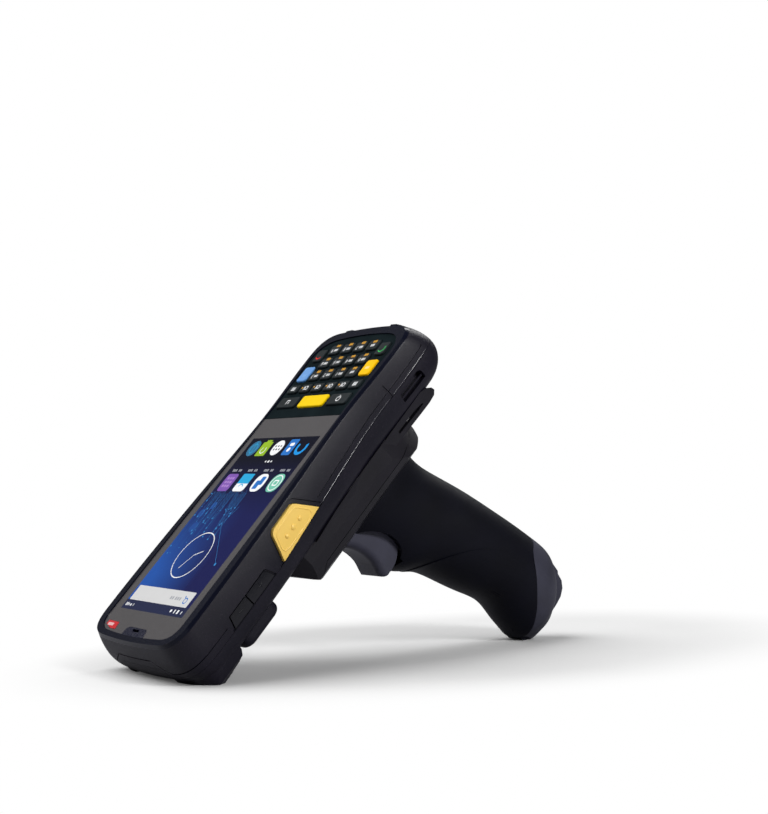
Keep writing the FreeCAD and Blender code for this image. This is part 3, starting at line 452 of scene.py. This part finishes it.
def screen_picture():
    lay("wallpaper", [soft_rect(0, 0, SCREEN_X, SCREEN_Y, 0.4)], PICTURE_HEIGHT, "wallpaper")
    top = -SCREEN_X / 2
    half = SCREEN_Y / 2
    lay("status_bar", [rect(top, top + 4.3, -half, half)], ICON_HEIGHT, "status")
    marks = [rect(-42.2, -40.7, 23.6, 24.3), rect(-42.2, -40.7, 22.5, 23.2),
             rect(-42.0, -40.9, 21.3, 21.9), disc(-41.6, 19.9, 0.6, 12),
             rect(-42.0, -40.9, 17.6, 18.0), disc(-41.4, -14.6, 0.7, 12),
             rect(-42.3, -40.6, -18.0, -17.2), rect(-42.3, -40.6, -20.8, -19.6),
             rect(-42.2, -40.9, -23.4, -22.9)]
    lay("status_marks", marks, GLYPH_HEIGHT, "white")
    lay("search_bar", [soft_rect(-35.8, 0.45, 6.9, 48.1, 0.5)], ICON_HEIGHT, "paper")
    lens_ring = arc_band(-36.4, -19.4, 1.2, 0.45, 0, 360, 20)
    lay("search_glyph", lens_ring + [stroke(-35.6, -18.6, -34.3, -17.5, 0.5)], GLYPH_HEIGHT, "sky")
    words = [rect(-36.6, -35.2, y, y + 1.1) for y in (-15.2, -13.5, -11.8, -9.4, -7.7)]
    lay("search_words", words, GLYPH_HEIGHT, "pale_mark")
    lay("clock_ring", arc_band(-16.2, 1.6, 10.9, 0.42, 0, 360, 72), GLYPH_HEIGHT, "white")
    lay("clock_hands", [stroke(-22.8, 4.9, -16.2, 0.5, 0.3), stroke(-16.2, 0.5, -14.0, -4.6, 0.38)],
        GLYPH_HEIGHT, "white")


def app_icons():
    columns = (18.8, 6.1, -6.6, -19.2)
    colors = ("purple", "white", "white", "teal")
    for index, (y, color) in enumerate(zip(columns, colors)):
        corner = 1.6 if index < 2 else 3.6
        lay(f"app_{index}", [soft_rect(20.0, y, 9.0, 9.0, corner)], ICON_HEIGHT, color)
    grid = [disc(18.2 + 2.0 * i, 16.9 + 2.0 * j, 0.7, 12) for i in range(3) for j in range(3)]
    lay("app_0_glyph", grid, GLYPH_HEIGHT, "lilac")
    lay("app_1_panel", [soft_rect(22.0, 6.1, 5.0, 9.0, 0.4)], GLYPH_HEIGHT, "cyan")
    lay("app_1_glyph", arc_band(17.4, 6.1, 1.7, 0.5, -70, 70, 12), GLYPH_HEIGHT, "cyan")
    lay("app_2_glyph", [soft_rect(19.0, -5.6, 4.2, 3.4, 0.5), soft_rect(21.0, -7.8, 4.2, 3.0, 0.5)],
        GLYPH_HEIGHT, "sky")
    lay("app_3_rim", arc_band(20.0, -19.2, 3.7, 0.5, 0, 360, 32), GLYPH_HEIGHT, "white")
    lay("app_3_glyph", [soft_rect(20.0, -19.2, 3.0, 3.6, 0.8)], GLYPH_HEIGHT, "white")
    lay("app_3_core", [soft_rect(20.0, -19.2, 1.8, 2.4, 0.5)], GLYPH_HEIGHT + 0.01, "teal")
    labels = []
    for y in columns:
        labels += [rect(25.7, 26.9, y + 1.25 * i - 3.6, y + 1.25 * i - 2.8)
                   for i in range(6) if i != 2]
    lay("app_labels", labels, ICON_HEIGHT, "pale_mark")
    dots = [disc(30.9, -1.0 + 2.2 * i, 0.5 + 0.15 * (i == 0)) for i in (-1, 0, 1)]
    lay("page_dots", dots, ICON_HEIGHT, "white")


def dock_icons():
    lay("dock_globe", [disc(38.0, 19.5, 4.1)], ICON_HEIGHT, "globe")
    lines = arc_band(38.0, 19.5, 2.4, 0.35, 0, 360) + [stroke(34.4, 19.5, 41.6, 19.5, 0.35)]
    lay("dock_globe_lines", lines, GLYPH_HEIGHT, "cyan")
    case = [soft_rect(37.6, 10.6, 7.4, 7.6, 0.6), rect(41.3, 42.3, 8.6, 12.6)]
    lay("dock_case", case, ICON_HEIGHT, "lime")
    lay("dock_case_line", arc_band(37.0, 10.6, 1.7, 0.4, 40, 320, 16), GLYPH_HEIGHT, "white")
    lay("dock_round", [disc(38.0, 0.2, 3.9)], ICON_HEIGHT, "white")
    dots = [disc(37.2 + 1.7 * j, 0.2 + 2.0 * i, 0.5, 10) for i in (-1, 0, 1) for j in (0, 1)]
    lay("dock_round_dots", dots, GLYPH_HEIGHT, "black_mark")
    lay("dock_tile", [soft_rect(38.2, -9.6, 8.2, 6.6, 0.8)], ICON_HEIGHT, "sky")
    card = [disc(36.9, -9.6, 1.1, 16), soft_rect(39.6, -9.6, 1.6, 3.2, 0.7)]
    lay("dock_tile_card", card, GLYPH_HEIGHT, "white")
    lay("dock_arc", arc_band(38.0, -18.4, 3.2, 1.5, 60, 300, 24), ICON_HEIGHT, "bright_blue")


def net():
    """Threads that fan out from the icon row towards the clock, ending in small beads."""
    rng = random.Random(11)
    threads = []
    bright = []
    beads = []
    for index in range(46):
        share = index / 45
        start = Vector((rng.uniform(14.0, 16.5), 27.0 - 30.0 * share))
        reach = rng.uniform(6.0, 30.0) * (1.15 - 0.4 * share)
        drift = rng.uniform(-2.5, 1.5) + 3.0 * (0.5 - share)
        at = start
        for step in range(3):
            sideways = drift * rng.uniform(0.1, 0.6)
            target = Vector((at.x - reach / 3, at.y + sideways))
            if target.y > 25.6 or target.x < -24.0:
                break
            group = bright if index % 3 == 0 else threads
            group.append(stroke(at.x, at.y, target.x, target.y, 0.16))
            at = target
        if at.y < 25.6:
            beads.append(disc(at.x, at.y, rng.uniform(0.22, 0.55), 10))
    hand = ((8.0, -5.6), (-0.5, -2.0), (-4.5, -6.0), (-19.3, -20.7))
    for first, last in zip(hand, hand[1:]):
        bright.append(stroke(*first, *last, 0.15))
    beads += [disc(-0.5, -2.0, 0.45, 10), disc(-19.3, -20.7, 0.7, 12)]
    lay("net_threads", threads, PICTURE_HEIGHT + 0.004, "deep_cyan")
    lay("net_bright", bright, PICTURE_HEIGHT + 0.006, "thread")
    lay("net_beads", beads, PICTURE_HEIGHT + 0.008, "thread")
    haze = [disc(4.0, 21.0, 2.2, 20), disc(-3.0, 18.5, 2.6, 20), disc(8.0, 15.5, 1.8, 20)]
    lay("net_haze", haze, PICTURE_HEIGHT + 0.002, "haze")


# Key legends

DIGITS = {"key_c2": "1", "key_c3": "2", "key_c4": "3", "key_b1": "0", "key_b2": "4", "key_b3": "5",
          "key_b4": "6", "key_a2": "7", "key_a3": "8", "key_a4": "9"}


def digit_outline(text, x, y, size):
    """Plain numeral as flat polygons in device x and y, upright seen from the keypad end."""
    curve = bpy.data.curves.new("numeral", "FONT")
    curve.body = text
    curve.size = size
    curve.align_x = "CENTER"
    curve.align_y = "CENTER"
    curve.resolution_u = 3
    holder = bpy.data.objects.new("numeral", curve)
    bpy.context.scene.collection.objects.link(holder)
    bpy.context.view_layer.update()
    mesh = bpy.data.meshes.new_from_object(holder)
    polygons = [[mesh.vertices[i].co.copy() for i in p.vertices] for p in mesh.polygons]
    bpy.data.objects.remove(holder)
    bpy.data.curves.remove(curve)
    bpy.data.meshes.remove(mesh)
    return [[(x - co.y, y + co.x) for co in polygon] for polygon in polygons]


def key_boxes():
    """Extent of every key in the terminal's own axes."""
    boxes = {}
    to_device = DEVICE_TO_WORLD.inverted()
    for name in device_nodes:
        if name.startswith("key_"):
            piece = nodes[name]
            corners = [to_device @ (piece.matrix_world @ v.co) for v in piece.data.vertices]
            low = Vector(min(c[i] for c in corners) for i in range(3))
            high = Vector(max(c[i] for c in corners) for i in range(3))
            boxes[name] = (low, high)
    return boxes


KEY_BOXES = key_boxes()


def letter_marks(x, y):
    """Row of tiny bars in place of the small letters beside a numeral."""
    return [rect(x - 0.75, x + 0.55, y + 0.95 * i, y + 0.95 * i + 0.55) for i in range(3)]


def symbol_marks(name, x, y):
    """Plain symbols of the keys without a numeral."""
    if name == "key_power":
        ring = arc_band(x, y, 1.25, 0.4, 35, 325, 24)
        return [("white", ring + [stroke(x + 0.3, y, x + 1.9, y, 0.4)])]
    if name == "key_back":
        return [("white", [stroke(x - 1.1, y - 0.9, x + 0.3, y - 0.9, 0.4),
                           stroke(x - 1.1, y + 0.9, x + 1.2, y + 0.9, 0.4),
                           stroke(x + 0.9, y - 1.4, x + 0.9, y + 0.9, 0.4)])]
    if name == "key_call":
        handset = arc_band(x, y, 1.9, 0.45, 120, 240, 12)
        return [("green_mark", handset + [stroke(x - 1.2, y - 1.9, x + 1.0, y - 1.9, 0.5)])]
    if name == "key_end":
        return [("red_mark", arc_band(x, y, 1.9, 0.5, 120, 240, 12))]
    if name == "key_blue":
        return [("key_blue_mark", letter_marks(x - 0.8, y - 1.4))]
    if name == "key_yellow":
        return [("key_yellow_mark", letter_marks(x - 0.2, y - 1.2))]
    if name in ("key_d1", "key_d6"):
        return [("white", [rect(x - 1.1, x + 0.9, y + i - 1.4, y + i - 0.8) for i in range(3)])]
    if name.startswith("key_d"):
        ring = arc_band(x, y - 1.1, 0.9, 0.4, 0, 360, 16)
        return [("white", ring + [rect(x - 1.2, x + 1.0, y + 0.3, y + 0.8)]),
                ("amber", [disc(x + 0.2, y + 2.4, 0.45, 12)])]
    return [("white", letter_marks(x - 0.2, y - 1.4)), ("amber", letter_marks(x + 1.9, y - 1.4))]


def key_legends():
    for name in sorted(device_nodes):
        if not name.startswith("key_") or name == "key_scan_front":
            continue
        low, high = KEY_BOXES[name]
        x, y = (low.x + high.x) / 2, (low.y + high.y) / 2
        body = nodes[name]["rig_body"]
        if name in DIGITS:
            numeral = digit_outline(DIGITS[name], x - 0.5, y + 1.5, 2.8)
            lay(name + "_numeral", numeral, LEGEND_HEIGHT, "white", body)
            lay(name + "_letters", letter_marks(x - 0.4, y - 2.4), LEGEND_HEIGHT, "white", body)
            lay(name + "_marks", letter_marks(x + 2.05, y - 2.2), LEGEND_HEIGHT, "amber", body)
            continue
        for material, shapes in symbol_marks(name, x, y):
            lay(name + "_" + material, shapes, LEGEND_HEIGHT, material, body)


# Raised details on the flanks, placed where a ray from the side meets the CAD surface

def flank_tree(names):
    corners = []
    faces = []
    to_device = DEVICE_TO_WORLD.inverted()
    for name in names:
        piece = nodes[name]
        start = len(corners)
        corners += [to_device @ (piece.matrix_world @ v.co) for v in piece.data.vertices]
        faces += [[start + i for i in p.vertices] for p in piece.data.polygons]
    return BVHTree.FromPolygons(corners, faces)


def on_flank(tree, x, z, side):
    """Point and outward normal of the flank at x and z; side is -1 near and 1 far."""
    hit, normal, _, _ = tree.ray_cast(Vector((x, 60.0 * side, z)), Vector((0.0, -side, 0.0)))
    if hit is None:
        return None
    return hit, normal if normal.y * side > 0 else -normal


def mesh_piece(name, corners, faces, material, body):
    """Smooth-shaded piece from corners in the terminal's own axes."""
    mesh = bpy.data.meshes.new(name)
    mesh.from_pydata([DEVICE_TO_WORLD @ c for c in corners], [], faces)
    form = bmesh.new()
    form.from_mesh(mesh)
    bmesh.ops.recalc_face_normals(form, faces=form.faces[:])
    form.to_mesh(mesh)
    form.free()
    mesh.polygons.foreach_set("use_smooth", [True] * len(mesh.polygons))
    return link_piece(mesh, name, material, body)


def dome(corners, faces, at, normal, radius, height, rings=5, sides=20):
    """Adds a low dome on a point of the surface."""
    across = normal.cross(Vector((1, 0, 0))).normalized()
    along = normal.cross(across)
    turns = [2 * math.pi * side / sides for side in range(sides)]
    spokes = [across * math.cos(turn) + along * math.sin(turn) for turn in turns]
    start = len(corners)
    for ring in range(rings):
        rise = ring / rings * math.pi / 2
        level = height * math.cos(rise) - 0.05
        reach = radius * (math.sin(rise) if ring else 0.001)
        corners += [at + normal * level + spoke * reach for spoke in spokes]
    corners += [at - normal * 0.1 + spoke * radius for spoke in spokes]
    for ring in range(rings):
        for side in range(sides):
            a = start + ring * sides + side
            b = start + ring * sides + (side + 1) % sides
            faces.append((a, b, b + sides, a + sides))
    faces.append([start + side for side in range(sides)])


def tube(corners, faces, path, radius, closed, sides=8):
    """Adds a round bead along points that carry their surface normal."""
    start = len(corners)
    count = len(path)
    for index, (at, normal) in enumerate(path):
        ahead = path[(index + 1) % count if closed else min(index + 1, count - 1)][0]
        behind = path[(index - 1) % count if closed else max(index - 1, 0)][0]
        along = (ahead - behind).normalized()
        across = along.cross(normal).normalized()
        for side in range(sides):
            angle = 2 * math.pi * side / sides
            corners.append(at + (across * math.cos(angle) + normal * math.sin(angle)) * radius)
    for index in range(count if closed else count - 1):
        following = (index + 1) % count
        for side in range(sides):
            a = start + index * sides
            b = start + following * sides
            turn = (side + 1) % sides
            faces.append((a + side, a + turn, b + turn, b + side))


def side_key_details():
    """Three bumps and a soft raised border on each yellow side key."""
    for side, name in ((-1, "scan_key_near"), (1, "scan_key_far")):
        tree = flank_tree([name])
        body = nodes[name]["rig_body"]
        corners = []
        faces = []
        for x, radius in SIDE_KEY_BUMPS:
            found = on_flank(tree, x, BUMP_Z, side)
            if found:
                dome(corners, faces, found[0], found[1], radius, BUMP_HEIGHT)
        path = []
        for (x0, z0), (x1, z1) in zip(SIDE_KEY_BORDER, SIDE_KEY_BORDER[1:] + SIDE_KEY_BORDER[:1]):
            for step in range(4):
                share = step / 4
                found = on_flank(tree, x0 + (x1 - x0) * share, z0 + (z1 - z0) * share, side)
                if found:
                    path.append((found[0] - found[1] * BEAD_SUNK, found[1]))
        tube(corners, faces, path, BEAD_RADIUS, True)
        mesh_piece(name + "_relief", corners, faces, "side_yellow", body)


def split_height(x):
    for (x0, z0), (x1, z1) in zip(SPLIT_LINE, SPLIT_LINE[1:]):
        if x0 <= x <= x1:
            return z0 + (z1 - z0) * (x - x0) / (x1 - x0)
    return SPLIT_LINE[-1][1]


def parting_highlight_beads():
    """Thin bead of lighter gloss along the parting line of the shells on both flanks, a painted
    highlight.
    """
    tree = flank_tree(["front_housing"])
    for side, label in ((-1, "near"), (1, "far")):
        corners = []
        faces = []
        for first, last in HIGHLIGHT_STRETCHES:
            path = []
            steps = int((last - first) / 1.5)
            for step in range(steps + 1):
                x = first + (last - first) * step / steps
                found = on_flank(tree, x, split_height(x) + 0.35, side)
                if found:
                    path.append((found[0] - found[1] * 0.06, found[1]))
            if len(path) > 2:
                tube(corners, faces, path, HIGHLIGHT_RADIUS, False, 6)
        mesh_piece("parting_highlight_" + label, corners, faces, "parting_highlight_gloss", "body")


def volume_marks():
    """Raised plus and minus on the two volume keys."""
    for name, x, strokes in VOLUME_MARKS:
        tree = flank_tree([name])
        corners = []
        faces = []
        for x0, z0, x1, z1 in strokes:
            path = []
            for step in range(5):
                share = step / 4
                over = z0 + (z1 - z0) * share
                found = on_flank(tree, x + x0 + (x1 - x0) * share, VOLUME_Z + over, -1)
                if found:
                    path.append(found)
            if len(path) > 1:
                tube(corners, faces, path, MARK_RADIUS, False, 6)
        if faces:
            mesh_piece(name + "_mark", corners, faces, "key_gloss", nodes[name]["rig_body"])


def cubic(stations, values, at):
    """Smooth curve through four stations."""
    total = 0.0
    for i, here in enumerate(stations):
        weight = 1.0
        for j, other in enumerate(stations):
            if i != j:
                weight *= (at - other) / (here - other)
        total += weight * values[i]
    return total


def cap_skin():
    """Inner skin of the butt cap where the battery bay runs close to its flanks."""
    corners = []
    faces = []
    across = SKIN_COLUMNS + 1
    for side in (-1, 1):
        start = len(corners)
        for row in range(SKIN_ROWS + 1):
            z = -117.5 - 12.5 * row / SKIN_ROWS
            front = cubic(CAP_STATIONS, CAP_FRONT, z)
            rear = cubic(CAP_STATIONS, CAP_REAR, z)
            half = cubic(CAP_STATIONS, CAP_HALF, z) - CAP_INSET
            for column in range(across):
                y = 7.6 + 6.0 * column / SKIN_COLUMNS
                reach = ((rear - front) / 2 - CAP_INSET) * math.sqrt(1 - (y / half) ** 2)
                corners.append(Vector(((front + rear) / 2 + reach, side * y, z)))
        for row in range(SKIN_ROWS):
            for column in range(SKIN_COLUMNS):
                a = start + row * across + column
                faces.append((a, a + 1, a + across + 1, a + across))
    mesh_piece("butt_cap_skin", corners, faces, "grip_gray", nodes["butt_cap"]["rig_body"])


def lens_mark():
    lay("lens_bar", [soft_rect(-51.3, 23.6, 1.3, 5.0, 0.4)], 0.16, "lens_pale")


def scene_stage():
    bpy.ops.mesh.primitive_plane_add(size=FLOOR_SIZE)
    floor = bpy.context.object
    floor.name = "floor"
    floor.data.materials.append(floor_material())


def floor_material():
    """Grey paper floor around the object, a painted shadow pool that fades to plain white away from
    the object.
    """
    material, tree, shader = new_material("floor")
    coordinates = tree.nodes.new("ShaderNodeTexCoord")
    shade = spread(tree, noise(tree, device_coordinates(tree), 0.02), 0.0, 1.0)
    rays = tree.nodes.new("ShaderNodeLightPath")
    # Grey floor near the object as the camera sees it: painted shade of the shadow pool
    seen = mix_colors(tree, shade, (0.66, 0.66, 0.66), (0.68, 0.68, 0.68))
    tree.links.new(mix_colors(tree, rays.outputs["Is Camera Ray"], FLOOR_BOUNCE, seen),
                   shader.inputs["Base Color"])
    shader.inputs["Roughness"].default_value = 0.9
    shader.inputs["Specular IOR Level"].default_value = 0.0
    lift = add_node(tree, "ShaderNodeEmission", Color=(0.01, 0.01, 0.01, 1.0))
    tree.links.new(rays.outputs["Is Camera Ray"], lift.inputs["Strength"])
    near = tree.nodes.new("ShaderNodeAddShader")
    tree.links.new(shader.outputs["BSDF"], near.inputs[0])
    tree.links.new(lift.outputs["Emission"], near.inputs[1])
    white = add_node(tree, "ShaderNodeEmission", Color=(1.0, 1.0, 1.0, 1.0))
    tree.links.new(rays.outputs["Is Camera Ray"], white.inputs["Strength"])
    squash = tree.nodes.new("ShaderNodeMapping")
    squash.inputs["Scale"].default_value = (1.0, 1.5, 1.0)
    squash.inputs["Location"].default_value = (-SHADOW_POOL_CENTRE_X, 0.0, 0.0)
    tree.links.new(coordinates.outputs["Object"], squash.inputs["Vector"])
    length = tree.nodes.new("ShaderNodeVectorMath")
    length.operation = "LENGTH"
    tree.links.new(squash.outputs["Vector"], length.inputs[0])
    fade = tree.nodes.new("ShaderNodeMapRange")
    fade.interpolation_type = "SMOOTHSTEP"
    fade.inputs["From Min"].default_value = SHADOW_POOL_FADE_START
    fade.inputs["From Max"].default_value = SHADOW_POOL_FADE_END
    tree.links.new(length.outputs["Value"], fade.inputs["Value"])
    both = tree.nodes.new("ShaderNodeMath")
    both.operation = "MULTIPLY"
    tree.links.new(fade.outputs["Result"], both.inputs[0])
    tree.links.new(rays.outputs["Is Camera Ray"], both.inputs[1])
    chooser = tree.nodes.new("ShaderNodeMixShader")
    tree.links.new(both.outputs["Value"], chooser.inputs["Fac"])
    tree.links.new(near.outputs["Shader"], chooser.inputs[1])
    tree.links.new(white.outputs["Emission"], chooser.inputs[2])
    tree.links.new(chooser.outputs["Shader"], tree.nodes["Material Output"].inputs["Surface"])
    return material


def world_light():
    world = bpy.data.worlds.new("studio")
    bpy.context.scene.world = world
    world.use_nodes = True
    tree = world.node_tree
    light = tree.nodes["Background"]
    light.inputs["Color"].default_value = (1.0, 1.0, 1.0, 1.0)
    light.inputs["Strength"].default_value = WORLD_STRENGTH
    white = add_node(tree, "ShaderNodeBackground", Color=(1.0, 1.0, 1.0, 1.0), Strength=1.0)
    rays = tree.nodes.new("ShaderNodeLightPath")
    chooser = tree.nodes.new("ShaderNodeMixShader")
    tree.links.new(rays.outputs["Is Camera Ray"], chooser.inputs["Fac"])
    tree.links.new(light.outputs["Background"], chooser.inputs[1])
    tree.links.new(white.outputs["Background"], chooser.inputs[2])
    tree.links.new(chooser.outputs["Shader"], tree.nodes["World Output"].inputs["Surface"])


def softbox(name, at, aim, power, width, height):
    data = bpy.data.lights.new(name, "AREA")
    data.shape = "RECTANGLE"
    data.size = width
    data.size_y = height
    data.energy = power
    lamp = bpy.data.objects.new(name, data)
    bpy.context.scene.collection.objects.link(lamp)
    lamp.location = at
    lamp.rotation_euler = (Vector(aim) - Vector(at)).to_track_quat("-Z", "Y").to_euler()


def camera():
    data = bpy.data.cameras.new("camera")
    data.lens = LENS_MM
    data.sensor_width = 36.0
    data.clip_start = 0.01
    viewer = bpy.data.objects.new("camera", data)
    bpy.context.scene.collection.objects.link(viewer)
    back = -CAMERA_FORWARD.normalized()
    right = CAMERA_UP.cross(back).normalized()
    up = back.cross(right)
    turn = Matrix((right, up, back)).transposed().to_4x4()
    viewer.matrix_world = Matrix.Translation(CAMERA_AT) @ turn
    bpy.context.scene.camera = viewer


def main():
    bpy.context.scene.view_settings.view_transform = "Standard"
    paint_all()
    screen_picture()
    net()
    app_icons()
    dock_icons()
    key_legends()
    side_key_details()
    parting_highlight_beads()
    volume_marks()
    lens_mark()
    cap_skin()
    scene_stage()
    world_light()
    for lamp in LAMPS:
        softbox(*lamp)
    camera()


main()
